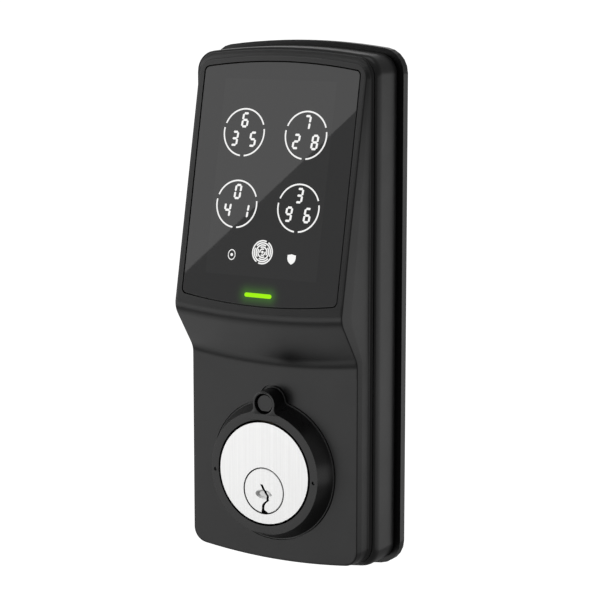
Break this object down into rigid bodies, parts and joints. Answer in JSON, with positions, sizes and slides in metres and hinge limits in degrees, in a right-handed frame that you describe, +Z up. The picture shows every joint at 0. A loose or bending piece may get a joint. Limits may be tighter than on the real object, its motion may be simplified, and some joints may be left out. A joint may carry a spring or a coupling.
{
  "type": "keypad smart lock outside unit",
  "caption": "Outside unit of a door lock: tilted touch keypad over a key cylinder in a round collar, on an arched metal back plate with fixing posts and a tailpiece.",
  "frame": {"origin": "centre of the back plate's door side", "axes": "-Y out of the door towards the user, +X right as seen from in front, +Z up"},
  "size_m": [0.0616, 0.069, 0.1474],
  "materials": {
    "black_paint": "fine satin black powder coat",
    "black_trim": "satin black enamel",
    "dark_glass": "polished, back-printed black",
    "satin_nickel": "straight brushed satin nickel",
    "plated_steel": "bright zinc plated",
    "brass": "turned",
    "rubber": "matt",
    "foam": "closed-cell foam",
    "board": "green solder mask",
    "chip": "moulded epoxy",
    "plastic": "moulded",
    "light": "lit green light guide"
  },
  "bodies": {
    "housing": {"front_housing": "black_paint", "mid_frame": "black_paint", "back_plate": "black_paint", "collar_ring": "black_trim", "display_glass": "dark_glass", "touch_panel": "plastic", "status_light_guide": "light", "glass_seal": "foam", "weather_gasket": "foam", "body_gasket": "rubber", "housing_gasket": "rubber", "cable_grommet": "rubber", "cylinder_body": "satin_nickel", "spring_cover": "brass", "main_board": "board", "main_chip": "chip", "buzzer": "chip", "button_switch": "chip", "cable_socket": "plastic", "radio_module": "plated_steel", "collar_clip": "plated_steel", "button_spring": "plated_steel", "mounting_post_left": "plated_steel", "mounting_post_right": "plated_steel", "driver_pin_1": "brass", "driver_spring_1": "plated_steel", "driver_pin_2": "brass", "driver_spring_2": "plated_steel", "driver_pin_3": "brass", "driver_spring_3": "plated_steel", "driver_pin_4": "brass", "driver_spring_4": "plated_steel", "driver_pin_5": "brass", "driver_spring_5": "plated_steel", "housing_screw_1": "plated_steel", "housing_screw_2": "plated_steel", "housing_screw_3": "plated_steel", "housing_screw_4": "plated_steel", "cylinder_screw_1": "plated_steel", "board_screw_1": "plated_steel", "cylinder_screw_2": "plated_steel", "board_screw_2": "plated_steel"},
    "plug": {"key_plug": "satin_nickel", "plug_clip": "plated_steel", "tailpiece": "plated_steel", "tailpiece_pin": "plated_steel", "key_pin_1": "brass", "key_pin_2": "brass", "key_pin_3": "brass", "key_pin_4": "brass", "key_pin_5": "brass"},
    "button": {"lug_button": "black_trim", "button_clip": "plated_steel"}
  },
  "joints": [
    {"name": "plug_turn", "type": "hinge", "parent": "housing", "child": "plug", "pos_m": [0, -0.025, -0.04965], "axis": [0, 1, 0], "range_deg": [-90, 90]},
    {"name": "lug_button_press", "type": "slide", "parent": "housing", "child": "button", "axis": [0, 1, 0], "range_m": [0, 0.0012], "stiffness_N_per_m": 300, "deforming": ["button_spring"]}
  ]
}
